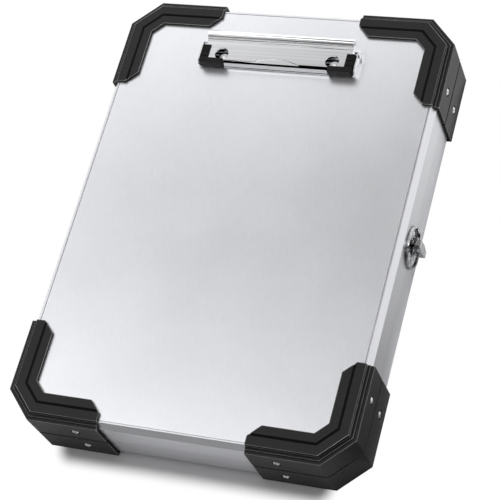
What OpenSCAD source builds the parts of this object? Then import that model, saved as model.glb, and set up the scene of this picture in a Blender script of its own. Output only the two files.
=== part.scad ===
// Storage clipboard: an aluminium form box that lies flat, with a hinged lid that is also the writing
// face, black moulded corner guards in lid and tray halves, a spring clip and a round twist latch.
// Frame: X across the width, +Y toward the clip, +Z out of the writing face, standing on its feet at Z 0.

/* [Case] */
// Width of the aluminium body across its two long sides.
case_w = 235; // [210:1:270]
// Length of the aluminium body from the clip end to the foot end.
case_l = 321; // [290:1:360]
// Depth of the tray from its underside to the parting line.
tray_h = 21; // [17:0.5:30]
// Depth of the lid from the parting line to the writing face.
lid_h = 22.5; // [21:0.5:40]
// Thickness of the folded aluminium sheet.
sheet = 1.2; // [0.8:0.1:1.6]
// Leg of the cut across each upright corner of the body.
corner_cut = 17.8; // [12:0.2:22]
// Outside radius of the fold along the tray's underside.
fold_r = 2.4; // [1.8:0.1:4]
// How far the fold's arc is set past the two faces that it joins.
fold_past = 0.03; // [0.02:0.01:0.1]
// Height of the hem that stiffens the rim of the tray and of the lid.
hem_h = 4; // [2:0.5:6]
// Extra thickness that the hem adds inside the wall.
hem_t = 1.2; // [0.6:0.1:2]
// Gap between the rim of the closed lid and the rim of the tray.
rim_gap = 0.1; // [0.05:0.05:0.5]

/* [Lid shoulder and panel] */
// How far the sloped shoulder leans in from the lid's wall.
shoulder_in = 3.2; // [2.4:0.1:5]
// How far the shoulder runs down from the writing face.
shoulder_drop = 4.2; // [3.4:0.1:7]
// Thickness of the writing panel.
panel_t = 1.5; // [1:0.1:2.5]
// Width of the frame's bright lip around the panel.
lip_w = 0.9; // [0.5:0.1:2]
// Open seam between the panel and the lip.
seam = 0.4; // [0.1:0.05:0.5]
// Width of the ledge that carries the panel from below.
ledge_w = 9; // [5:0.5:14]

/* [Corner guards] */
// Thickness of the guards' side walls outside the aluminium.
guard_wall = 2.2; // [1.6:0.1:2.4]
// Thickness of the lid guards' flange above the writing face.
flange_t = 2; // [1.2:0.1:3]
// Thickness of the tray guards' flange under the tray, which is also the foot.
foot_t = 2.5; // [2:0.1:5]
// Reach of each guard arm along the body from its corner.
arm_l = 66.8; // [60:0.2:76]
// Distance of the flange's inner edge from the side of the body.
flange_w = 16.8; // [14:0.2:22]
// Leg of the cut across the flange's inside corner.
inner_cut = 7.6; // [4:0.2:12]
// Leg of the cut across the inner side of each arm's end.
end_cut = 8; // [4:0.2:9]
// Inset of the lid flange's outer edge from the side of the body.
flange_in = 2.6; // [2.2:0.1:3]
// Height of the upper step in the lid guards' shoulder.
step_up = 2.4; // [2.2:0.1:3.4]
// Height of the lower step in the lid guards' shoulder.
step_down = 0.9; // [0.6:0.1:2.4]
// Width of the tread between the two steps.
step_tread = 2.4; // [1.4:0.1:2.6]
// Width of the V-shaped groove that follows the flange's inner edge.
groove_w = 2.2; // [1:0.1:3.4]
// Depth of that groove.
groove_d = 1.3; // [0.4:0.1:1.5]
// Distance from the flange's inner edge to the middle of the groove.
groove_off = 7; // [4:0.1:8]
// Distance between the groove's end and the arm's end.
groove_stop = 1.4; // [0.8:0.1:3]
// Gap between a lid guard and the tray guard below it.
guard_gap = 1.5; // [0.4:0.1:2]
// Length of the heel cut under each tray guard arm's end.
heel_run = 0.5; // [0.5:0.5:6]
// Height of that heel cut.
heel_rise = 1; // [1:0.5:9]
// Distance from the end of the body to the rivet in each guard arm.
guard_rivet_at = 48; // [44:0.5:52]

/* [Rivets] */
// Radius of a guard rivet's domed head.
rivet_head_r = 2.4; // [2:0.1:2.8]
// Height of the domed head above its seat.
rivet_head_h = 1.3; // [0.9:0.1:1.8]
// Radius of the rivet's shank.
rivet_r = 1.6; // [1.2:0.1:1.8]
// Radial clearance of every rivet shank in its hole.
rivet_fit = 0.05; // [0.02:0.01:0.1]
// Radius of the blind tail inside the wall.
tail_r = 2.3; // [2:0.1:2.8]
// Length of the blind tail.
tail_h = 1.6; // [1:0.1:2.5]
// Radius of the hole that the pulled mandrel leaves in the head.
mandrel_r = 0.8; // [0.5:0.1:1]
// Depth of that hole.
mandrel_d = 0.9; // [0.5:0.1:1.1]
// Radius of the recess in the guard around each rivet head.
recess_r = 3.2; // [3:0.1:4]
// Depth of that recess.
recess_d = 0.6; // [0.3:0.1:0.8]

/* [Hinge] */
// Number of knuckles along the hinge, an odd number.
knuckles = 15; // [9:2:21]
// Gap between the hinge's ends and the guard arms.
hinge_end_gap = 1.7; // [1:0.1:4]
// Gap between neighbouring knuckles.
knuckle_gap = 0.3; // [0.2:0.05:0.5]
// Outside radius of the knuckles.
knuckle_r = 2.2; // [2:0.1:2.6]
// Clearance between the knuckles and what they turn past.
knuckle_clear = 0.3; // [0.3:0.05:0.6]
// Radius of the hinge pin.
pin_r = 1.1; // [0.8:0.05:1.2]
// Radial running clearance of the pin in the knuckles.
pin_fit = 0.05; // [0.02:0.01:0.1]
// Thickness of the hinge leaves.
leaf_t = 1; // [0.8:0.1:1.3]
// Height of each leaf from the pin's axis.
leaf_h = 12; // [10:0.5:15]
// Number of rivets in each leaf.
leaf_rivets = 6; // [3:1:9]
// Distance of the leaf rivets from the pin's axis.
leaf_rivet_at = 7.6; // [6:0.1:9]
// Height of the low heads of the leaf and latch rivets.
low_head_h = 0.7; // [0.5:0.1:1]

/* [Twist latch] */
// Radius of the round latch plate, half on the lid and half on the tray.
rose_r = 14.4; // [12.5:0.1:14.5]
// Thickness of the plate.
rose_t = 1.2; // [0.8:0.1:1.6]
// Width of the plate's raised rim.
rose_rim_w = 1.5; // [1:0.1:2.5]
// Height of that rim above the plate.
rose_rim_h = 0.9; // [0.5:0.1:1.2]
// Gap between the two halves of the plate.
rose_gap = 0.6; // [0.4:0.1:1]
// Radius of the boss that carries the knob.
boss_r = 5; // [4.6:0.1:5.4]
// Height of the boss above the tray's wall.
boss_h = 2.3; // [2.2:0.1:2.6]
// Clearance around the boss in the lid half and behind it at the lid's wall.
boss_clear = 0.4; // [0.3:0.05:0.6]
// Radius of the knob's stem.
stem_r = 2; // [1.6:0.1:2.2]
// Radius of the foot that keeps the stem in the boss.
stem_foot_r = 3; // [2.6:0.1:3.4]
// Thickness of that foot.
stem_foot_t = 0.5; // [0.4:0.1:0.6]
// Radial running clearance of the stem and its foot in the boss.
stem_fit = 0.05; // [0.02:0.01:0.1]
// Gap between layers that turn over each other.
layer_gap = 0.15; // [0.1:0.05:0.3]
// Thickness of the hook plate under the knob.
hook_t = 1.1; // [0.8:0.1:1.4]
// Distance from the stem's axis to the keeper stud.
stud_at = 8.6; // [8.2:0.1:9]
// Radius of the keeper stud.
stud_r = 1.4; // [1:0.1:1.6]
// Clearance of the stud in the hook's slot.
stud_clear = 0.35; // [0.3:0.05:0.5]
// Width of the hook's outer finger beyond the slot.
finger_w = 1.7; // [1.2:0.1:2]
// Angle of the hook arm to each side of its middle.
hook_half = 24; // [20:1:30]
// Height of the knob's blade from tip to tip.
blade_l = 18; // [16:0.5:20]
// Width of the blade at its middle.
blade_w = 7; // [5:0.5:8]
// Width of the blade at its tips.
blade_tip_w = 4.2; // [3:0.2:5]
// How far the blade stands out beyond its hub.
blade_h = 3.8; // [3:0.1:5]
// Thickness of the hub between the hook plate and the blade.
hub_t = 0.35; // [0.3:0.05:0.6]
// Radius of that hub.
hub_r = 4.4; // [3:0.1:4.8]
// Distance of the latch rivets from the stem's axis.
latch_rivet_at = 9.6; // [9:0.1:9.8]
// Angle of the latch rivets from the parting line.
latch_rivet_angle = 38; // [37:1:42]
// Radius of the latch rivets' heads.
latch_head_r = 1.7; // [1.4:0.1:1.9]
// Radius of the latch rivets' shanks.
latch_rivet_r = 1; // [0.8:0.1:1.2]

/* [Clip] */
// Width of the clip over the ears of its base.
clip_w = 115; // [100:1:125]
// Distance from the end of the body to the clip's pivot rod.
clip_at = 34; // [30:0.5:44]
// Reach of the base plate in front of the rod.
base_front = 15; // [14:0.5:18]
// Reach of the base plate behind the rod.
base_back = 4.5; // [3.5:0.5:5.5]
// Thickness of the base plate and its ears.
base_t = 1; // [0.8:0.1:1.2]
// Height of the ears above the writing face.
ear_h = 5.6; // [5.2:0.1:6.4]
// Height of the rod's axis above the writing face.
rod_z = 3.2; // [3.2:0.05:3.4]
// Radius of the rod.
rod_r = 1; // [0.8:0.05:1.1]
// Radial running clearance of the rod in the ears and the clamp's lugs.
rod_fit = 0.05; // [0.02:0.01:0.1]
// Radius of the rod's peened ends.
rod_head_r = 1.7; // [1.4:0.1:2]
// Thickness of the rod's peened ends.
rod_head_t = 0.7; // [0.5:0.1:1]
// Thickness of the clamp's sheet.
clamp_t = 0.9; // [0.8:0.05:1]
// Distance of the clamp's sides from the outside of the base's ears.
clamp_in = 2.5; // [2.4:0.1:4]
// Distance of the clamp's lugs and rolled edge from the outside of the base's ears.
roll_in = 4; // [3.5:0.5:9]
// Height of the deck's middle plane above the writing face.
deck_z = 5.8; // [5.7:0.1:6.2]
// Reach of the clamp's lip in front of the rod.
lip_y = 14.3; // [13.5:0.1:15]
// Gap between the closed lip and the base plate.
lip_gap = 0.3; // [0.3:0.05:0.6]
// Run of the lip from its edge up to its first bend.
lip_run = 0.7; // [0.5:0.1:1.2]
// Height from that bend up to the deck.
lip_knee = 1.1; // [0.8:0.1:1.6]
// Run of the lip from its edge back to the flat deck.
lip_slope = 2.3; // [2:0.1:3.4]
// Distance of the rolled edge's axis behind the rod.
roll_y = 7.6; // [7.4:0.1:10.5]
// Height of the rolled edge's axis above the writing face.
roll_z = 7.1; // [7:0.1:7.8]
// Outside radius of the rolled edge.
roll_r = 2.6; // [2.2:0.1:2.8]
// Angle around the rolled edge at which the deck's ramp runs into it.
curl_angle = 30; // [20:1:40]
// Width of the shallow bay pressed into the middle of the lip.
bay_w = 32; // [20:1:50]
// How far the bay reaches back from the lip's upper bend.
bay_d = 3.2; // [1.5:0.1:4]
// Depth of the bay below the deck's top.
bay_h = 0.45; // [0.2:0.05:0.6]
// Radius of the access holes in the deck over the clip rivets.
access_r = 4.9; // [4.2:0.1:5.2]
// Distance of the clip rivets from the outside of the base's ears.
clip_rivet_in = 17; // [14:0.5:22]
// Distance of the clip rivets in front of the rod.
clip_rivet_y = 7.6; // [7:0.1:8]
// Radius of the clip rivets' heads.
clip_head_r = 3.3; // [2.8:0.1:3.6]
// Height of the clip rivets' heads.
clip_head_h = 1.6; // [1.2:0.1:2]
// Radius of the lugs around the rod under the deck.
lug_r = 1.9; // [1.7:0.05:1.9]
// Thickness of the lugs.
lug_t = 1; // [0.8:0.1:1.4]

/* [Clip springs and grips] */
// Wire radius of the torsion springs.
wire_r = 0.35; // [0.3:0.05:0.4]
// Gap between the rod and the inside of the coil.
coil_gap = 0.2; // [0.15:0.05:0.3]
// Number of turns in each coil.
coil_turns = 6; // [4:1:8]
// Pitch of the coil's turns.
coil_pitch = 0.95; // [0.9:0.05:1.1]
// Distance of each spring from the middle of the clip.
spring_at = 24; // [16:1:30]
// Reach of the leg that presses on the base.
leg_front = 6.5; // [5:0.5:9]
// Reach of the leg that lifts the back of the deck.
leg_back = 3.4; // [2.5:0.1:4]
// Gap between the legs and the sheets that they press on, so that they only touch once loaded.
leg_gap = 0.3; // [0.3:0.05:0.5]
// Angle around the rod at which the front leg leaves the coil.
leg_angle = 200; // [190:1:210]
// Part of a turn left open between the two legs.
leg_open = 110; // [90:1:130]
// Width of the L-shaped grips' leg along the clamp's side.
grip_leg = 6; // [5:0.1:7]
// Width of the grips' leg along the clamp's lip.
grip_foot = 4.2; // [3.8:0.1:5]
// Width of the grips' skirt below the deck, clear of the clip rivets.
grip_skirt = 3.2; // [2.8:0.1:3.6]
// Length of the grip along the clamp's side.
grip_side = 14.5; // [10:0.5:14.5]
// Length of the grip along the clamp's lip.
grip_toe = 17.4; // [12:0.2:20]
// How far the grips stand out around the clamp's edges.
grip_over = 0.9; // [0.5:0.1:1.2]
// Thickness of the grip above the deck.
grip_cap = 0.7; // [0.4:0.1:1]
// Gap between the closed grips and the base plate.
grip_gap = 0.15; // [0.1:0.05:0.3]
// Number of grooves across each grip's side leg.
ribs = 5; // [3:1:6]
// Width of these grooves.
rib_w = 0.7; // [0.5:0.1:1]
// Depth of these grooves.
rib_d = 0.35; // [0.2:0.05:0.5]

/* [Hidden] */
$fn = 48;
eps = 1;                                    // overshoot of every cutter
diag_in = 2 - sqrt(2);                      // how much an inset shortens a corner cut
half_w = case_w / 2;
half_l = case_l / 2;
base_z = foot_t;                            // underside of the aluminium tray
split_z = base_z + tray_h;                  // parting line and hinge height
top_z = split_z + lid_h;                    // writing face
shoulder_z = top_z - shoulder_drop;
wall_top_z = top_z + flange_t - step_up - step_down;   // top of a lid guard's side wall
tread_z = top_z + flange_t - step_up;
lid_rivet_z = (split_z + guard_gap / 2 + wall_top_z) / 2;
tray_rivet_z = (split_z - guard_gap / 2) / 2;
hinge_x = half_w + knuckle_clear + knuckle_r;          // pin axis outside the hinge-side wall
hinge_l = case_l - 2 * (arm_l + hinge_end_gap);
hook_x0 = half_w + boss_h + layer_gap;
blade_x0 = hook_x0 + hook_t + hub_t;
stud_end_x = hook_x0 + hook_t;
hook_r = stud_at + stud_r + stud_clear + finger_w;
clip_y = half_l - clip_at;
clamp_w = clip_w - 2 * clamp_in;
roll_w = clip_w - 2 * roll_in;
clip_rivet_x = clip_w / 2 - clip_rivet_in;
coil_r = rod_r + coil_gap + wire_r;
// The frame's X 0 lies midway between the hinge's knuckles and the tip of the latch knob.
frame_shift = (hinge_x + knuckle_r - (blade_x0 + blade_h)) / 2;
alu = [0.82, 0.83, 0.85];
black = [0.16, 0.16, 0.17];
steel = [0.72, 0.73, 0.75];
bright = [0.9, 0.9, 0.92];

// ---- outlines ------------------------------------------------------------------------------------

// The body's outline, a rectangle with cut corners, moved inward by d.
module body_outline(d) {
    x = half_w - d;
    y = half_l - d;
    c = corner_cut - d * diag_in;
    polygon([[x - c, -y], [x, -y + c], [x, y - c], [x - c, y],
             [-x + c, y], [-x, y - c], [-x, -y + c], [-x + c, -y]]);
}

module body_slab(d, z0, z1) translate([0, 0, z0]) linear_extrude(z1 - z0) body_outline(d);

// Runs a profile along all eight sides of the outline; its x is measured outward from the side.
module along_sides(d = 0) {
    diag = (half_w + half_l - corner_cut) / sqrt(2);
    reach = [half_w, diag, half_l, diag];
    for (side = [0:7]) rotate([0, 0, side * 45]) translate([reach[side % 4] - d, 0, 0]) rotate([90, 0, 0])
        linear_extrude(case_l + case_w, center = true) children();
}

// What the lid's slope takes off a block; s moves the slope inward for the inside face.
module shoulder_profile(s) {
    lean = shoulder_in / shoulder_drop;
    z1 = top_z + flange_t + eps;
    z0 = shoulder_z - s / lean;
    polygon([[0, z0], [half_l, z0], [half_l, z1], [-s - (z1 - shoulder_z) * lean, z1]]);
}

// What the fold at height z takes off a block; its arc crosses both faces at a small angle.
module fold_profile(r, z) difference() {
    translate([-r, z - eps]) square([r + eps, r + eps]);
    translate([fold_past - r, z + r - fold_past]) circle(r);
}

// The L-shaped plan of a guard at the +X +Y corner: d is the outer inset, w the inner edge's distance.
module guard_plan(d, w) {
    c = corner_cut - d * diag_in;
    l = arm_l;
    x = half_w;
    y = half_l;
    n = flange_w - end_cut;                            // where the end cut starts
    e = max(w - n, 0);
    q = w + inner_cut + (flange_w - w) * diag_in;      // where the inside corner cut starts
    polygon([[x - l, y - d], [x - d - c, y - d], [x - d, y - d - c], [x - d, y - l],
             if (e > 0) [x - n, y - l], [x - w, y - l + e], [x - w, y - q],
             [x - q, y - w], [x - l + e, y - w], if (e > 0) [x - l, y - n]]);
}

module guard_layer(z0, z1, d, w) translate([0, 0, z0]) linear_extrude(z1 - z0) guard_plan(d, w);

// Four points along the guard at the distance w from the sides, up to groove_stop from the arms' ends.
function groove_line(w) =
    let(l = arm_l - groove_stop, q = w + inner_cut + (flange_w - w) * diag_in)
    [[half_w - l, half_l - w], [half_w - q, half_l - w], [half_w - w, half_l - q], [half_w - w, half_l - l]];

// The V-shaped cutter along that line, mitred where it turns.
module groove_cutter() {
    mid = groove_line(flange_w - groove_off);
    outer = groove_line(flange_w - groove_off - groove_w);
    inner = groove_line(flange_w - groove_off + groove_w);
    for (i = [0:2]) intersection() {
        d = mid[i + 1] - mid[i];
        translate([mid[i][0], mid[i][1], top_z + flange_t]) rotate([90, 0, 90 + atan2(d[1], d[0])])
            linear_extrude(2 * (norm(d) + groove_w), center = true)
                polygon([[0, -groove_d], [groove_w / 2, 0], [groove_w / 2, eps], [-groove_w / 2, eps],
                         [-groove_w / 2, 0]]);
        translate([0, 0, top_z]) linear_extrude(flange_t + eps)
            polygon([outer[i], outer[i + 1], inner[i + 1], inner[i]]);
    }
}

module at_corner(sx, sy) mirror([sx < 0 ? 1 : 0, 0, 0]) mirror([0, sy < 0 ? 1 : 0, 0]) children();

// ---- rivets --------------------------------------------------------------------------------------

// A blind rivet pointing up, its head seated on Z 0 and its tail grip below.
module rivet(head_r, head_h, shank_r, grip, mandrel = 0) {
    dome_r = (head_r * head_r + head_h * head_h) / (2 * head_h);
    difference() {
        union() {
            intersection() {
                translate([0, 0, head_h - dome_r]) sphere(dome_r);
                cylinder(h = head_h, r = head_r);
            }
            translate([0, 0, -grip - tail_h / 2]) cylinder(h = grip + tail_h / 2 + head_h / 2, r = shank_r);
            translate([0, 0, -grip - tail_h]) cylinder(h = tail_h, r = shank_r + tail_r - rivet_r);
        }
        if (mandrel > 0) translate([0, 0, head_h - mandrel_d]) cylinder(h = mandrel_d + eps, r = mandrel);
    }
}

module rivet_bore(shank_r) translate([0, 0, -half_w / 4]) cylinder(h = half_w / 2, r = shank_r + rivet_fit);

// Sets its child on the seats of the guard rivets: +Z of the child points out of the wall.
module at_guard_rivets(z, seat) for (sx = [-1, 1], sy = [-1, 1]) {
    translate([sx * (half_w + seat), sy * (half_l - guard_rivet_at), z]) rotate([0, 90 * sx, 0]) children();
    translate([sx * (half_w - guard_rivet_at), sy * (half_l + seat), z]) rotate([-90 * sy, 0, 0]) children();
}

module at_leaf_rivets(side) for (i = [0:leaf_rivets - 1])
    translate([-half_w - leaf_t, ((i + 0.5) / leaf_rivets - 0.5) * hinge_l, split_z + side * leaf_rivet_at])
        rotate([0, -90, 0]) children();

module at_latch_rivets(side) for (a = [latch_rivet_angle, 180 - latch_rivet_angle])
    translate([half_w + rose_t, latch_rivet_at * cos(a), split_z + side * latch_rivet_at * sin(a)])
        rotate([0, 90, 0]) children();

module at_clip_rivets() for (sx = [-1, 1])
    translate([sx * clip_rivet_x, clip_y - clip_rivet_y, top_z + base_t]) children();

// ---- tray ----------------------------------------------------------------------------------------

module tray_solid() difference() {
    body_slab(0, base_z, split_z);
    along_sides() fold_profile(fold_r, base_z);
}

module tray_pan() color(alu) difference() {
    tray_solid();
    difference() {
        body_slab(sheet, base_z + sheet, split_z - hem_h);
        along_sides(sheet) fold_profile(fold_r - sheet, base_z + sheet);
    }
    body_slab(sheet + hem_t, split_z - hem_h - eps, split_z + eps);
    at_guard_rivets(tray_rivet_z, 0) rivet_bore(rivet_r);
    at_leaf_rivets(-1) rivet_bore(latch_rivet_r);
    at_latch_rivets(-1) rivet_bore(latch_rivet_r);
}

module heel_profile()
    polygon([[-eps, -eps], [heel_run, -eps], [heel_run, 0], [0, heel_rise], [-eps, heel_rise]]);

module tray_guard(sx, sy) color(black) difference() {
    at_corner(sx, sy) difference() {
        union() {
            guard_layer(0, foot_t, -guard_wall, flange_w);
            guard_layer(0, split_z - guard_gap / 2, -guard_wall, guard_wall);
        }
        // the heel cut under the end of each arm
        translate([half_w - arm_l - eps, half_l - arm_l, 0]) rotate([90, 0, 90])
            linear_extrude(arm_l + guard_wall + 2 * eps) heel_profile();
        translate([half_w - arm_l, half_l + guard_wall + eps, 0]) rotate([90, 0, 0])
            linear_extrude(arm_l + guard_wall + 2 * eps) heel_profile();
    }
    body_slab(0, base_z, split_z);
    at_guard_rivets(tray_rivet_z, 0) rivet_bore(rivet_r);
    at_guard_rivets(tray_rivet_z, guard_wall - recess_d) cylinder(h = recess_d + eps, r = recess_r);
}

module tray_guard_front_left() tray_guard(-1, -1);
module tray_guard_front_right() tray_guard(1, -1);
module tray_guard_back_left() tray_guard(-1, 1);
module tray_guard_back_right() tray_guard(1, 1);

module tray_guard_rivets() color(steel) at_guard_rivets(tray_rivet_z, guard_wall - recess_d)
    rivet(rivet_head_r, rivet_head_h, rivet_r, guard_wall - recess_d + sheet, mandrel_r);

// ---- lid -----------------------------------------------------------------------------------------

module lid_solid() difference() {
    body_slab(0, split_z + rim_gap, top_z);
    along_sides() shoulder_profile(0);
}

module lid_frame() color(alu) {
    slope_t = sheet * sqrt(pow(shoulder_in, 2) + pow(shoulder_drop, 2)) / shoulder_drop;
    difference() {
        lid_solid();
        difference() {
            body_slab(sheet, split_z + hem_h, top_z - panel_t - sheet);
            along_sides() shoulder_profile(slope_t);
        }
        body_slab(sheet + hem_t, split_z - eps, split_z + hem_h + eps);
        body_slab(shoulder_in + lip_w + ledge_w, split_z, top_z + eps);
        body_slab(shoulder_in + lip_w, top_z - panel_t, top_z + eps);
        at_guard_rivets(lid_rivet_z, 0) rivet_bore(rivet_r);
        at_leaf_rivets(1) rivet_bore(latch_rivet_r);
        at_latch_rivets(1) rivet_bore(latch_rivet_r);
    }
}

module lid_panel() color(alu) difference() {
    body_slab(shoulder_in + lip_w + seam, top_z - panel_t, top_z);
    at_clip_rivets() rivet_bore(rivet_r);
}

module lid_guard(sx, sy) color(black) difference() {
    z0 = split_z + guard_gap / 2;
    at_corner(sx, sy) difference() {
        union() {
            guard_layer(z0, wall_top_z, -guard_wall, flange_in + step_tread);
            guard_layer(z0, tread_z, flange_in - step_tread, shoulder_in + lip_w);
            guard_layer(tread_z, top_z + flange_t, flange_in, flange_w);
        }
        groove_cutter();
    }
    lid_solid();
    at_guard_rivets(lid_rivet_z, 0) rivet_bore(rivet_r);
    at_guard_rivets(lid_rivet_z, guard_wall - recess_d) cylinder(h = recess_d + eps, r = recess_r);
}

module lid_guard_front_left() lid_guard(-1, -1);
module lid_guard_front_right() lid_guard(1, -1);
module lid_guard_back_left() lid_guard(-1, 1);
module lid_guard_back_right() lid_guard(1, 1);

module lid_guard_rivets() color(steel) at_guard_rivets(lid_rivet_z, guard_wall - recess_d)
    rivet(rivet_head_r, rivet_head_h, rivet_r, guard_wall - recess_d + sheet, mandrel_r);

// ---- hinge ---------------------------------------------------------------------------------------

module along_hinge(y0, l, r) translate([-hinge_x, y0, split_z]) rotate([-90, 0, 0]) cylinder(h = l, r = r);

// side is -1 for the tray's leaf, which carries the first and last knuckle, and 1 for the lid's.
module hinge_leaf(side) {
    pitch = hinge_l / knuckles;
    own = side < 0 ? 0 : 1;
    difference() {
        union() {
            difference() {
                translate([-half_w - leaf_t, -hinge_l / 2, split_z + (side < 0 ? -leaf_h : knuckle_clear)])
                    cube([leaf_t, hinge_l, leaf_h - knuckle_clear]);
                for (i = [1 - own:2:knuckles - 1])
                    along_hinge(i * pitch - (hinge_l + knuckle_gap) / 2, pitch + knuckle_gap,
                                knuckle_r + knuckle_clear);
            }
            for (i = [own:2:knuckles - 1])
                along_hinge(i * pitch - (hinge_l - knuckle_gap) / 2, pitch - knuckle_gap, knuckle_r);
        }
        along_hinge(-hinge_l / 2 - eps, hinge_l + 2 * eps, pin_r + pin_fit);
        at_leaf_rivets(side) rivet_bore(latch_rivet_r);
    }
}

module hinge_tray_leaf() color(steel) hinge_leaf(-1);
module hinge_lid_leaf() color(steel) hinge_leaf(1);
module hinge_pin() color(bright) along_hinge(-hinge_l / 2, hinge_l, pin_r);
module low_rivet(grip) rivet(latch_head_r, low_head_h, latch_rivet_r, grip);
module hinge_tray_rivets() color(steel) at_leaf_rivets(-1) low_rivet(leaf_t + sheet);
module hinge_lid_rivets() color(steel) at_leaf_rivets(1) low_rivet(leaf_t + sheet);

// ---- twist latch ---------------------------------------------------------------------------------

module out_of_wall(x0, x1, r) translate([x0, 0, split_z]) rotate([0, 90, 0]) cylinder(h = x1 - x0, r = r);

module rose_half(side) intersection() {
    difference() {
        out_of_wall(half_w, half_w + rose_t + rose_rim_h, rose_r);
        out_of_wall(half_w + rose_t, half_w + rose_t + rose_rim_h + eps, rose_r - rose_rim_w);
    }
    translate([half_w - eps, -rose_r - eps, split_z + (side < 0 ? -rose_r - eps : rose_gap / 2)])
        cube([rose_t + rose_rim_h + 2 * eps, 2 * (rose_r + eps), rose_r + eps - rose_gap / 2]);
}

module latch_base() color(bright) difference() {
    union() {
        rose_half(-1);
        out_of_wall(half_w, half_w + boss_h, boss_r);
    }
    out_of_wall(half_w - eps, half_w + boss_h + eps, stem_r + stem_fit);
    out_of_wall(half_w - eps, half_w + boss_clear + stem_foot_t + stem_fit, stem_foot_r + stem_fit);
    translate([half_w - eps, -rose_r, split_z - rose_gap / 2]) cube([boss_clear + eps, 2 * rose_r, rose_r]);
    at_latch_rivets(-1) rivet_bore(latch_rivet_r);
}

module latch_keeper() color(bright) difference() {
    union() {
        rose_half(1);
        translate([half_w, 0, split_z + stud_at]) rotate([0, 90, 0])
            cylinder(h = stud_end_x - half_w, r = stud_r);
    }
    out_of_wall(half_w - eps, half_w + boss_h, boss_r + boss_clear);
    at_latch_rivets(1) rivet_bore(latch_rivet_r);
}

module latch_base_rivets() color(steel) at_latch_rivets(-1) low_rivet(rose_t + sheet);
module latch_keeper_rivets() color(steel) at_latch_rivets(1) low_rivet(rose_t + sheet);

// The hook is drawn let go, lying toward +Y; a quarter turn brings its slot over the stud.
module hook_plan() difference() {
    union() {
        circle(boss_r - layer_gap);
        intersection() {
            circle(hook_r);
            polygon([[0, 0], 2 * hook_r * [cos(hook_half), -sin(hook_half)],
                     2 * hook_r * [cos(hook_half), sin(hook_half)]]);
        }
    }
    circle(stem_r);
    translate([stud_at, 0]) circle(stud_r + stud_clear);
    intersection() {
        difference() {
            circle(stud_at + stud_r + stud_clear);
            circle(stud_at - stud_r - stud_clear);
        }
        polygon([[0, 0], [2 * hook_r, 0], [2 * hook_r, 2 * hook_r]]);
    }
}

module latch_hook() color(bright) translate([hook_x0, 0, split_z]) rotate([90, 0, 90])
    linear_extrude(hook_t) hook_plan();

module latch_knob() color(bright) union() {
    out_of_wall(half_w + boss_clear, half_w + boss_clear + stem_foot_t, stem_foot_r);
    out_of_wall(half_w + boss_clear, blade_x0 + hub_t, stem_r);
    out_of_wall(hook_x0 + hook_t, blade_x0 + hub_t, hub_r);
    translate([blade_x0, 0, split_z]) rotate([90, 0, 90]) linear_extrude(blade_h)
        polygon([[-blade_w / 2, 0], [-blade_tip_w / 2, -blade_l / 2], [blade_tip_w / 2, -blade_l / 2],
                 [blade_w / 2, 0], [blade_tip_w / 2, blade_l / 2], [-blade_tip_w / 2, blade_l / 2]]);
}

// ---- clip ----------------------------------------------------------------------------------------

// Clip parts are drawn around the rod's foot: Y from the rod, Z from the writing face.
module at_clip() translate([0, clip_y, top_z]) children();

// Extrudes a Y-Z profile across the clip from x0 to x1.
module across(x0, x1) translate([x0, 0, 0]) rotate([90, 0, 90]) linear_extrude(x1 - x0) children();

module rod_bore(r) translate([-clip_w, 0, rod_z]) rotate([0, 90, 0]) cylinder(h = 2 * clip_w, r = r);

module clip_base() color(bright) at_clip() difference() {
    union() {
        translate([-clip_w / 2, -base_front, 0]) cube([clip_w, base_front + base_back, base_t]);
        for (x = [-clip_w / 2, clip_w / 2 - base_t]) across(x, x + base_t)
            polygon([[-base_front, 0], [base_back, 0], [base_back, rod_z],
                     [base_back - ear_h + rod_z, ear_h], [-base_front + ear_h / 2, ear_h],
                     [-base_front, ear_h / 2]]);
    }
    rod_bore(rod_r + rod_fit);
    for (sx = [-1, 1]) translate([sx * clip_rivet_x, -clip_rivet_y, 0]) rivet_bore(rivet_r);
}

module clip_base_rivets() color(steel) at_clip_rivets()
    rivet(clip_head_r, clip_head_h, rivet_r, base_t + panel_t);

module clip_rod() color(steel) at_clip() {
    half = clip_w / 2;
    translate([-half, 0, rod_z]) rotate([0, 90, 0]) cylinder(h = clip_w, r = rod_r);
    for (x = [-half - rod_head_t, half]) translate([x, 0, rod_z]) rotate([0, 90, 0])
        cylinder(h = rod_head_t, r = rod_head_r);
}

// One straight run of bent sheet between two bends of the profile, with its bends rounded.
module run(a, b) {
    d = b - a;
    translate(a) rotate(atan2(d[1], d[0])) translate([0, -clamp_t / 2]) square([norm(d), clamp_t]);
    for (p = [a, b]) translate(p) circle(d = clamp_t);
}

// The ramp from the deck into the rolled edge.
ramp_pt = [roll_y - 2 * roll_r, deck_z];
curl_pt = [roll_y, roll_z] + (roll_r - clamp_t / 2) * [-sin(curl_angle), cos(curl_angle)];

// The front sheet's middle line, from the lip's edge to the deck.
front_line = [[-lip_y, base_t + lip_gap + clamp_t / 4], [-lip_y + lip_run, deck_z - lip_knee],
              [-lip_y + lip_slope, deck_z], [0, deck_z]];

// The point at distance d to the left of the line p at its bend i, mitred.
function beside(p, i, d) =
    let(a = p[max(i, 1)] - p[max(i, 1) - 1], b = p[min(i + 1, 3)] - p[min(i, 2)],
        m = a / norm(a) + b / norm(b))
    p[i] + 2 * d / (m * m) * [-m[1], m[0]];

module clamp_front() difference() {
    r = (bay_w * bay_w / 4 + bay_d * bay_d) / (2 * bay_d);
    across(-clamp_w / 2, clamp_w / 2) polygon(concat(
        [for (i = [0:3]) beside(front_line, i, -clamp_t / 2)],
        [for (i = [3:-1:0]) beside(front_line, i, clamp_t / 2)]));
    translate([0, bay_d - lip_y + lip_slope - r, deck_z + clamp_t / 2 - bay_h]) cylinder(h = deck_z, r = r);
}

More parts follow.
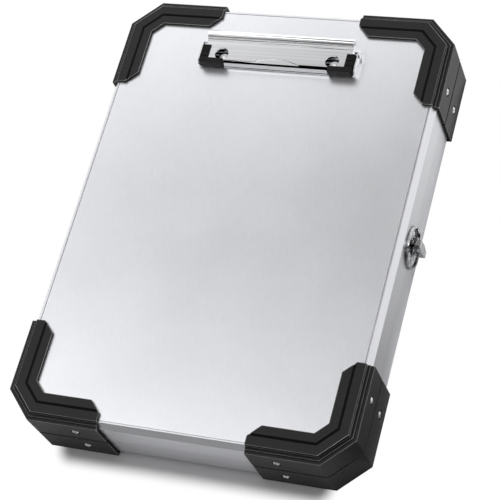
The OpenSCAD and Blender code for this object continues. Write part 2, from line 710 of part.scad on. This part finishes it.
module clamp_back() {
    translate([-2 * clamp_t, deck_z - clamp_t / 2]) square([ramp_pt[0] + 2 * clamp_t, clamp_t]);
    run(ramp_pt, curl_pt);
    difference() {
        translate([roll_y, roll_z]) circle(roll_r);
        translate([roll_y, roll_z]) circle(roll_r - clamp_t);
    }
}

module clamp_solid() difference() {
    union() {
        clamp_front();
        across(-roll_w / 2, roll_w / 2) clamp_back();
        for (x = [-roll_w / 2, roll_w / 2 - lug_t]) across(x, x + lug_t) {
            translate([0, rod_z]) circle(lug_r);
            translate([-lug_r, rod_z]) square([2 * lug_r, deck_z - rod_z]);
        }
    }
    rod_bore(rod_r + rod_fit);
    for (sx = [-1, 1]) translate([sx * clip_rivet_x, -clip_rivet_y, rod_z])
        cylinder(h = deck_z, r = access_r);
}

module clip_clamp() color(bright) at_clip() clamp_solid();

// A ring of the spring's wire around p, square to the direction t, with the rod's axis along X.
wire_sides = 6;
coil_steps = 12;
function ring(p, t) = let(u = cross(t, [1, 0, 0]), n = u / norm(u), b = cross(t, n))
    [for (a = [0:360 / wire_sides:359]) p + wire_r * (cos(a) * n + sin(a) * b)];
// The front leg runs forward over the base plate and the back leg under the deck, with the coil between.
coil_end = leg_angle + 360 * coil_turns - leg_open;
function coil_at(a) = [(a - leg_angle) / 360 * coil_pitch, coil_r * cos(a), rod_z + coil_r * sin(a)];
function spring_path() = concat(
    [[0, -leg_front, base_t + leg_gap + wire_r]],
    [for (i = [0:round((coil_end - leg_angle) * coil_steps / 360)])
        coil_at(leg_angle + i * 360 / coil_steps)],
    [coil_at(coil_end) + [0, leg_back, leg_gap]]);

module sweep(path) {
    n = len(path);
    m = wire_sides;
    dir = [for (i = [0:n - 1]) let(d = path[min(i + 1, n - 1)] - path[max(i - 1, 0)]) d / norm(d)];
    sides = [for (i = [0:n - 2], k = [0:m - 1]) let(a = i * m + k, b = i * m + (k + 1) % m)
        each [[a, b, a + m], [b, b + m, a + m]]];
    start = [for (k = [0:m - 1]) m - 1 - k];
    end = [for (k = [0:m - 1]) (n - 1) * m + k];
    polyhedron([for (i = [0:n - 1]) each ring(path[i], dir[i])], concat(sides, [start, end]));
}

module clip_springs() color(steel) at_clip() for (sx = [-1, 1])
    translate([sx * spring_at - coil_turns * coil_pitch / 2, 0, 0]) sweep(spring_path());

// Plan of the grip for the clamp's +X front corner, with legs of width w and v.
module grip_plan(w, v) {
    x1 = clamp_w / 2 + grip_over;
    y0 = -lip_y - clamp_t / 2 - grip_over;
    polygon([[x1 - grip_toe, y0], [x1 - grip_over, y0], [x1, y0 + grip_over], [x1, y0 + grip_side],
             [x1 - w, y0 + grip_side], [x1 - w, y0 + v], [x1 - grip_toe, y0 + v]]);
}

module grip() {
    z0 = base_t + grip_gap;
    z1 = deck_z - clamp_t / 2;
    z2 = deck_z + clamp_t / 2 + grip_cap;
    y1 = grip_side - grip_over - lip_y - clamp_t / 2;
    pitch = (grip_side - grip_foot) / ribs;
    difference() {
        union() {
            translate([0, 0, z0]) linear_extrude(z2 - z0) grip_plan(grip_skirt, grip_skirt);
            translate([0, 0, z1]) linear_extrude(z2 - z1) grip_plan(grip_leg, grip_foot);
        }
        clamp_solid();
        for (i = [0:ribs - 1])
            translate([clamp_w / 2 - grip_leg, y1 - (i + 0.5) * pitch - rib_w / 2, z2 - rib_d])
                cube([2 * grip_leg, rib_w, rib_d + eps]);
    }
}

module clip_grip_right() color(black) at_clip() grip();
module clip_grip_left() color(black) at_clip() mirror([1, 0, 0]) grip();

module placed() translate([frame_shift, 0, 0]) children();

placed() tray_pan();
placed() tray_guard_front_left();
placed() tray_guard_front_right();
placed() tray_guard_back_left();
placed() tray_guard_back_right();
placed() tray_guard_rivets();
placed() hinge_tray_leaf();
placed() hinge_tray_rivets();
placed() hinge_pin();
placed() latch_base();
placed() latch_base_rivets();
placed() lid_frame();
placed() lid_panel();
placed() lid_guard_front_left();
placed() lid_guard_front_right();
placed() lid_guard_back_left();
placed() lid_guard_back_right();
placed() lid_guard_rivets();
placed() hinge_lid_leaf();
placed() hinge_lid_rivets();
placed() latch_keeper();
placed() latch_keeper_rivets();
placed() latch_hook();
placed() latch_knob();
placed() clip_base();
placed() clip_base_rivets();
placed() clip_rod();
placed() clip_clamp();
placed() clip_springs();
placed() clip_grip_left();
placed() clip_grip_right();
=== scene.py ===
from math import radians
import bpy
from mathutils import Matrix

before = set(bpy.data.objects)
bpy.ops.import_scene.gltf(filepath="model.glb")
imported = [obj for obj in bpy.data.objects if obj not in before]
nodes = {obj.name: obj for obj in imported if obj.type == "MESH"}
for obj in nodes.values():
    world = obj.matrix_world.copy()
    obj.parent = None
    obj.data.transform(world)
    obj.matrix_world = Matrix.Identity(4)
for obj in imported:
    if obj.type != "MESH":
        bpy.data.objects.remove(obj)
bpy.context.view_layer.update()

# Tray pan.
# The lower half is one sheet of aluminium, folded up on eight sides and hemmed at its rim. Its
# brushed lines run level along the walls. Lengths are in metres, and scales are details in a metre.


class Signal:
    """What one socket gives out, so that shader maths can be written as an expression."""

    def __init__(self, finish, socket):
        self.finish = finish
        self.socket = socket

    def beside(self, out):
        """Another output of the same node."""
        return Signal(self.finish, self.socket.node.outputs[out])

    def joined(self, operation, first, second):
        return self.finish.node("ShaderNodeMath", {"operation": operation}, {0: first, 1: second})

    def __add__(self, other):
        return self.joined("ADD", self, other)

    def __radd__(self, other):
        return self.joined("ADD", other, self)

    def __sub__(self, other):
        return self.joined("SUBTRACT", self, other)

    def __rsub__(self, other):
        return self.joined("SUBTRACT", other, self)

    def __mul__(self, other):
        return self.joined("MULTIPLY", self, other)

    def __rmul__(self, other):
        return self.joined("MULTIPLY", other, self)


class Finish:
    """A surface finish: one Principled shader, whose other nodes all come from node()."""

    def __init__(self, name, **constants):
        self.material = bpy.data.materials.new(name)
        self.material.use_nodes = True
        self.tree = self.material.node_tree
        self.shader = self.tree.nodes["Principled BSDF"]
        for socket, value in constants.items():
            self.shader.inputs[socket.replace("_", " ")].default_value = value

    def node(self, kind, settings=None, sockets=None, out=0):
        """A new node: its settings, such as a ramp's stops, and its sockets' values or links."""
        made = self.tree.nodes.new(kind)
        for name, value in (settings or {}).items():
            if name == "stops":
                while len(made.color_ramp.elements) < len(value):
                    made.color_ramp.elements.new(0.5)
                for stop, (place, shade) in zip(made.color_ramp.elements, value):
                    stop.position = place
                    stop.color = (*shade, 1)
            else:
                setattr(made, name, value)
        for key, value in (sockets or {}).items():
            if isinstance(value, Signal):
                self.tree.links.new(value.socket, made.inputs[key])
            else:
                made.inputs[key].default_value = value
        return Signal(self, made.outputs[out])

    def feed(self, **signals):
        """Links signals to the shader's sockets."""
        for socket, signal in signals.items():
            self.tree.links.new(signal.socket, self.shader.inputs[socket.replace("_", " ")])

    def place(self, stretch=(1, 1, 1)):
        """The piece's own coordinates; a small factor draws marks out along that axis."""
        here = self.node("ShaderNodeTexCoord", out="Object")
        return self.node("ShaderNodeVectorMath", {"operation": "MULTIPLY"}, {0: here, 1: stretch})

    def noise(self, place, scale, detail, roughness):
        return self.node("ShaderNodeTexNoise", None,
                         {"Vector": place, "Scale": scale,
                          "Detail": detail, "Roughness": roughness})

    def range(self, signal, low, high, start, end):
        """Signal from low to high, turned into start to end and held there."""
        return self.node("ShaderNodeMapRange", None,
                         {"Value": signal, "From Min": low, "From Max": high,
                          "To Min": start, "To Max": end})

    def shades(self, signal, *stops):
        """Signal turned into a colour by stops, each a position and a colour."""
        return self.node("ShaderNodeValToRGB", {"stops": stops}, {"Fac": signal})

    def bump(self, height, strength, distance):
        return self.node("ShaderNodeBump", None,
                         {"Height": height, "Strength": strength, "Distance": distance})

    def on(self, *names):
        """Gives the finish to the slots of these pieces."""
        for name in names:
            for slot in nodes[name].material_slots:
                slot.material = self.material


def brushed(name, shade, roughness, along):
    """Aluminium sheet with fine lines drawn out as along says, small pits and faint clouds."""
    sheet = Finish(name, Metallic=1.0, Base_Color=(*shade, 1))
    lines = sheet.noise(sheet.place(along), scale=2000, detail=5, roughness=0.7)
    pits = sheet.noise(sheet.place(), scale=1500, detail=2, roughness=0.5)
    clouds = sheet.noise(sheet.place(), scale=14, detail=3, roughness=0.5)
    left_in_lines = 0.88
    worn = tuple(left_in_lines * part for part in shade)
    sheet.feed(
        Base_Color=sheet.shades(lines * 0.5 + pits * 0.3 + clouds * 0.2,
                                (0.35, worn), (0.65, shade)),
        Roughness=sheet.range(lines * 0.6 + clouds * 0.4, low=0.3, high=0.7,
                              start=roughness - 0.04, end=roughness + 0.05),
        Normal=sheet.bump(lines * 0.6 + pits * 0.4, strength=0.12, distance=0.00006))
    return sheet


level_lines = (0.02, 0.02, 1)
brushed("folded_aluminium", (0.77, 0.775, 0.80), roughness=0.36, along=level_lines).on("tray_pan")

# Corner guards of tray and lid.
# Each is moulded in black plastic with a fine matt grain, wraps a corner of its half, and is
# riveted through its side walls to the sheet behind. Shade is painted black into the grooves and
# where the guards meet other parts, and a highlight is painted pale along their edges.
guard_names = [f"{half}_guard_{end}_{side}" for half in ("tray", "lid")
               for end in ("front", "back") for side in ("left", "right")]
painted_groove_shade, painted_half_shade = (0.0005, 0.0005, 0.0005), (0.0048, 0.0048, 0.00492)
black, greyed_black, painted_edge_highlight = (0.012, 0.012, 0.0122), (0.0156, 0.0156, 0.016), (0.55, 0.55, 0.55)
plastic = Finish("matt_black_plastic", Base_Color=(*black, 1), Roughness=0.4,
                 Specular_IOR_Level=0.2)
grain = plastic.noise(plastic.place(), scale=1800, detail=3, roughness=0.6)
smears = plastic.noise(plastic.place(), scale=22, detail=4, roughness=0.6)
groove_reach, edge_reach = 0.004, 0.0006
groove = plastic.node("ShaderNodeAmbientOcclusion", {"samples": 8},
                      {"Distance": groove_reach}, out="AO")
edge = plastic.node("ShaderNodeAmbientOcclusion",
                    {"samples": 8, "only_local": True, "inside": True},
                    {"Distance": edge_reach}, out="AO")
# Painted shade turns the grooves and the contacts black, and a painted highlight turns the edges
# pale.
painted_shade_mask = plastic.range(groove, low=0.5, high=0.9, start=0.0, end=0.4)
edge_highlight_mask = plastic.range(edge, low=0.5, high=0.9, start=0.5, end=0.0)
in_a_groove = plastic.range(groove, low=0.5, high=0.9, start=0.4, end=0.0)
plastic.feed(
    Base_Color=plastic.shades(
        painted_shade_mask + smears * 0.1 + edge_highlight_mask,
        (0.0, painted_groove_shade), (0.3, painted_half_shade), (0.44, black), (0.52, greyed_black),
        (1.0, painted_edge_highlight)),
    Roughness=plastic.range(in_a_groove + smears * 0.3 + grain * 0.3,
                            low=0.2, high=0.8, start=0.35, end=0.8),
    Normal=plastic.bump(grain, strength=0.25, distance=0.00008))
plastic.on(*guard_names)


def soften(width, *names):
    """Breaks the sharp edges of rigid pieces by a small round of that width."""
    same_point = 1e-6
    for name in names:
        weld = nodes[name].modifiers.new("weld", "WELD")
        weld.merge_threshold = same_point
        round_off = nodes[name].modifiers.new("edge", "BEVEL")
        round_off.width = width
        round_off.segments = 3
        round_off.limit_method = "ANGLE"
        round_off.angle_limit = radians(35)
        round_off.harden_normals = True


soften(0.00035, *guard_names)

# Rivets.
# Blind rivets of bright aluminium hold guards, hinge leaves and latch plates. Shade is painted dark
# around their heads, where other parts come close.
bright, painted_rivet_shade, rivet_shade_reach = (0.7, 0.71, 0.73), (0.02, 0.02, 0.02), 0.0012
rivet = Finish("bright_rivet", Base_Color=(*bright, 1), Metallic=1.0, Roughness=0.25)
scuffs = rivet.noise(rivet.place(), scale=900, detail=3, roughness=0.5)
head_foot = rivet.node("ShaderNodeAmbientOcclusion", {"samples": 8}, {"Distance": rivet_shade_reach},
                       out="AO")
# Painted shade darkens the rivets where other parts come close.
rivet.feed(Base_Color=rivet.shades(head_foot, (0.35, painted_rivet_shade), (0.8, bright)),
           Roughness=rivet.range(scuffs, low=0.3, high=0.7, start=0.18, end=0.34))
rivet.on("tray_guard_rivets", "lid_guard_rivets", "hinge_tray_rivets", "hinge_lid_rivets",
         "latch_base_rivets", "latch_keeper_rivets")

# Hinge.
# A piano hinge of zinc-plated steel strip, rolled round a drawn pin and riveted to both halves. The
# plating has small crystals.
zinc = Finish("zinc_plate", Base_Color=(0.68, 0.69, 0.71, 1), Metallic=1.0, Roughness=0.32)
crystals = zinc.noise(zinc.place(), scale=260, detail=3, roughness=0.5)
zinc.feed(Base_Color=zinc.shades(crystals, (0.35, (0.6, 0.61, 0.63)), (0.65, (0.72, 0.73, 0.75))),
          Roughness=zinc.range(crystals, low=0.3, high=0.7, start=0.26, end=0.4))
zinc.on("hinge_tray_leaf", "hinge_lid_leaf", "hinge_pin")

# Lid frame and writing panel.
# The lid's frame is folded like the tray, with a sloped shoulder. The panel is a flat sheet let
# into it with an open seam all round, and its brushed lines run along the box.
lines_along_box = (1, 0.05, 1)
brushed("shoulder_aluminium", (0.815, 0.82, 0.85), roughness=0.34,
        along=level_lines).on("lid_frame")
brushed("panel_aluminium", (0.885, 0.892, 0.922), roughness=0.34,
        along=lines_along_box).on("lid_panel")

# Twist latch.
# Two half plates, a hook under the knob and the knob itself, cast and nickel plated. Dark patches
# of painted reflection follow faint waves in the plate, and shade is painted dark into its corners.


def polished(name, shade, dim, edge, along, scale, depth, corner_reach):
    """Nickel plate whose faint waves, drawn out as along says, break reflections into streaks."""
    plate = Finish(name, Metallic=1.0)
    waves = plate.noise(plate.place(along), scale, detail=3, roughness=0.55)
    corner = plate.node("ShaderNodeAmbientOcclusion", {"samples": 8}, {"Distance": corner_reach},
                        out="AO")
    # Painted shade darkens corners and places near other parts, and the waves' troughs carry dark
    # painted reflection, strongest where dim is low.
    in_a_corner = plate.range(corner, low=0.4, high=0.85, start=-0.4, end=0.0)
    marks_and_painted_reflection = tuple(dim * part for part in shade)
    painted_corner_shade = (0.01, 0.01, 0.01)
    plate.feed(
        Base_Color=plate.shades(waves + in_a_corner, (0.1, painted_corner_shade), (0.5 - edge, marks_and_painted_reflection),
                                (0.5 + edge, shade)),
        Roughness=plate.range(waves, low=0.3, high=0.7, start=0.03, end=0.07),
        Normal=plate.bump(waves, strength=0.6, distance=depth))
    return plate


polished("cast_nickel", (0.8, 0.805, 0.82), dim=0.4, edge=0.12, along=(1, 0.35, 1), scale=260,
         depth=0.0012, corner_reach=0.003).on(
    "latch_base", "latch_keeper", "latch_hook", "latch_knob")

# Paper clip.
# Base and clamp are bent from nickel-plated strip with level polishing marks, and the clamp turns
# on a plated rod. The two rivets under the clamp's holes were plated in a tumbler and are satin.
# On the strip, painted shade darkens the bends and where it meets other parts; its polishing marks
# are only faintly darker.
polished("strip_nickel", (0.92, 0.925, 0.94), dim=0.93, edge=0.15, along=(0.01, 1, 1), scale=500,
         depth=0.00003, corner_reach=0.002).on("clip_base", "clip_rod", "clip_clamp")
soften(0.0004, "clip_clamp")
soften(0.00012, "clip_base")
tumbled = Finish("tumbled_nickel", Base_Color=(0.93, 0.935, 0.945, 1), Metallic=0.7, Roughness=0.4)
dents = tumbled.noise(tumbled.place(), scale=900, detail=3, roughness=0.5)
tumbled.feed(Base_Color=tumbled.shades(dents, (0.35, (0.86, 0.865, 0.88)),
                                       (0.65, (0.95, 0.955, 0.965))),
             Roughness=tumbled.range(dents, low=0.3, high=0.7, start=0.34, end=0.46))
tumbled.on("clip_base_rivets")

# Springs and grips of the clip.
# Two wound springs of hard-drawn wire, and soft black rubber pads with fine ribs, pushed over the
# clamp's corners.
wire = Finish("spring_wire", Base_Color=(0.55, 0.56, 0.58, 1), Metallic=1.0, Roughness=0.3)
die_marks = wire.noise(wire.place(), scale=700, detail=2, roughness=0.5)
wire.feed(Roughness=wire.range(die_marks, low=0.3, high=0.7, start=0.24, end=0.38))
wire.on("clip_springs")
rubber = Finish("black_rubber", Base_Color=(0.004, 0.004, 0.0042, 1), Roughness=0.45,
                Specular_IOR_Level=0.15)
bloom = rubber.noise(rubber.place(), scale=500, detail=3, roughness=0.6)
ribs = rubber.node("ShaderNodeTexWave", {"bands_direction": "Y"},
                   {"Vector": rubber.place(), "Scale": 240})
# The ribs' crests are painted lighter, a painted highlight.
rubber.feed(Base_Color=rubber.shades(ribs, (0.5, (0.001, 0.001, 0.001)),
                                     (0.95, (0.01, 0.01, 0.0102))),
            Roughness=rubber.range(bloom, low=0.3, high=0.7, start=0.34, end=0.55),
            Normal=rubber.bump(bloom * 0.3 + ribs * 0.7, strength=0.4, distance=0.0003))
rubber.on("clip_grip_left", "clip_grip_right")
soften(0.0003, "clip_grip_left", "clip_grip_right")

# Studio floor.
# A sheet of pale paper. It keeps the shadow around a strip under the near end of the box, turns
# plain white within a finger's breadth of it, and shows white in metal further out.
strip_half_width, strip_half_depth, strip_y = 0.085, 0.014, -0.148
fade_start, fade_end = 0.004, 0.016
box_half_width, box_half_length, mirror_fade = 0.12, 0.185, 0.05
floor_half, floor_drop = 4, 0.0002
paper = Finish("pale_paper", Base_Color=(0.86, 0.86, 0.87, 1), Roughness=0.9)


def size_of(signal):
    return paper.node("ShaderNodeMath", {"operation": "ABSOLUTE"}, {0: signal})


def larger(first, second):
    return paper.node("ShaderNodeMath", {"operation": "MAXIMUM"}, {0: first, 1: second})


spot = paper.node("ShaderNodeTexCoord", out="Object")
x = paper.node("ShaderNodeSeparateXYZ", None, {0: spot})
y = x.beside("Y")
sideways = larger(size_of(x) - strip_half_width, 0.0)
endways = larger(size_of(y - strip_y) - strip_half_depth, 0.0)
away = paper.node("ShaderNodeMath", {"operation": "SQRT"},
                  {0: sideways * sideways + endways * endways})
white = paper.node("ShaderNodeMapRange", {"interpolation_type": "SMOOTHSTEP"},
                   {"Value": away, "From Min": fade_start, "From Max": fade_end})
past_box = larger(size_of(x) - box_half_width, size_of(y) - box_half_length)
mirrored = paper.range(past_box, low=0.0, high=mirror_fade, start=0.0, end=1.0)
camera_ray = paper.node("ShaderNodeLightPath", out="Is Camera Ray")
glossy_ray, clear_ray = camera_ray.beside("Is Glossy Ray"), camera_ray.beside("Is Transmission Ray")
glow = paper.node("ShaderNodeEmission", None, {"Color": (1, 1, 1, 1), "Strength": 1.0})
surface = paper.node("ShaderNodeMixShader", None,
                     {0: white * (camera_ray + clear_ray) + mirrored * glossy_ray,
                      1: Signal(paper, paper.shader.outputs[0]), 2: glow})
paper.tree.links.new(surface.socket, paper.tree.nodes["Material Output"].inputs["Surface"])


def level_sheet(name, half_width, half_depth, finish):
    """A flat level sheet, which belongs to the stage and not to the box."""
    mesh = bpy.data.meshes.new(name)
    corners = [(across * half_width, along * half_depth, 0)
               for across, along in ((-1, -1), (1, -1), (1, 1), (-1, 1))]
    mesh.from_pydata(corners, [], [(0, 1, 2, 3)])
    mesh.materials.append(finish.material)
    made = bpy.data.objects.new(name, mesh)
    bpy.context.scene.collection.objects.link(made)
    return made


floor = level_sheet("floor", floor_half, floor_half, paper)
floor.location.z = -floor_drop

# Studio light.
# The room is bright behind the box and dim in front of it. One large soft lamp, which isn't
# mirrored, hangs almost overhead, so that the shadow stays close to the near end.
dim_room, bright_room = 0.25, 1.15
room = bpy.data.worlds.new("room")
bpy.context.scene.world = room
room.use_nodes = True


class Room(Finish):
    """The same way of writing for the world, whose shader is its Background node."""

    def __init__(self, world):
        self.tree = world.node_tree
        self.shader = self.tree.nodes["Background"]


sky = Room(room)
sky.shader.inputs["Color"].default_value = (1, 1, 1, 1)
outward = sky.node("ShaderNodeTexCoord", out="Generated")
backward = sky.node("ShaderNodeSeparateXYZ", None, {0: outward}, out="Y")
room_light = sky.range(backward, low=-0.2, high=0.55, start=dim_room, end=bright_room)
eye_ray = sky.node("ShaderNodeLightPath", out="Is Camera Ray")
seen = eye_ray + eye_ray.beside("Is Transmission Ray")
sky.feed(Strength=seen + (1.0 - seen) * room_light)

softbox = bpy.data.lights.new("overhead_softbox", "AREA")
softbox.shape = "RECTANGLE"
softbox.size, softbox.size_y, softbox.energy = 0.9, 0.7, 14
lamp = bpy.data.objects.new("overhead_softbox", softbox)
bpy.context.scene.collection.objects.link(lamp)
lamp.location = (-0.05, 0.45, 1.7)
lamp.rotation_euler = (-lamp.location).to_track_quat("-Z", "Y").to_euler()
lamp.visible_glossy = False

# Cards around the box.
# Level sheets that only mirrors see. The ceiling gives the writing face its run from pale to grey,
# the strip lights the right shoulder, and the others tone the walls and the clip's bends.
brightest = 3


def card(name, place, width, depth, tone):
    """A card; tone gives its brightness from the metres to its middle in X and Y."""
    grey = Finish(name, Base_Color=(0, 0, 0, 1), Specular_IOR_Level=0.0, Roughness=1.0,
                  Emission_Strength=1.0)
    here = grey.node("ShaderNodeTexCoord", out="Object")
    right = grey.node("ShaderNodeSeparateXYZ", None, {0: here})
    level = grey.range(tone(right, right.beside("Y")), low=0, high=brightest,
                       start=0, end=brightest)
    grey.feed(Emission_Color=grey.node("ShaderNodeCombineColor", None,
                                       {0: level, 1: level, 2: level}))
    made = level_sheet(name, width / 2, depth / 2, grey)
    made.location = place
    made.visible_camera = made.visible_diffuse = made.visible_shadow = False


card("ceiling", place=(-0.42, 0.494, 1.046), width=1.7, depth=1.7,
     tone=lambda right, back: 0.38 + 4.6 * (back * back) - 0.85 * right)
card("floor_in_front", place=(-0.1, -0.72, 0.002), width=2.2, depth=1.04,
     tone=lambda right, back: 0.29)
card("upper_front", place=(-0.7, -1.14, 1.05), width=2.6, depth=0.7, tone=lambda right, back: 1.0)
card("dark_front", place=(-0.7, -0.575, 1.05), width=2.6, depth=0.43, tone=lambda right, back: 0.0)
card("right_strip", place=(0.5, 0.494, 1.046), width=0.12, depth=1.7, tone=lambda right, back: 3.0)
card("floor_beside", place=(0.149, 0, 0.001), width=0.056, depth=0.36,
     tone=lambda right, back: 0.55 + 2.9 * back)

# Camera.
# A long lens, high up and to the near right of the box, rolled so that the box leans in the frame.
eye = bpy.data.cameras.new("camera")
eye.lens, eye.sensor_width = 128.88, 36
eye.clip_start, eye.clip_end = 0.05, 20
viewer = bpy.data.objects.new("camera", eye)
bpy.context.scene.collection.objects.link(viewer)
viewer.matrix_world = Matrix((
    (0.92768, -0.10448, 0.35846, 0.43519),
    (0.25252, 0.88276, -0.39620, -0.48786),
    (-0.27503, 0.45806, 0.84530, 1.03345),
    (0, 0, 0, 1)))
bpy.context.scene.camera = viewer
bpy.context.scene.view_settings.view_transform = "Standard"
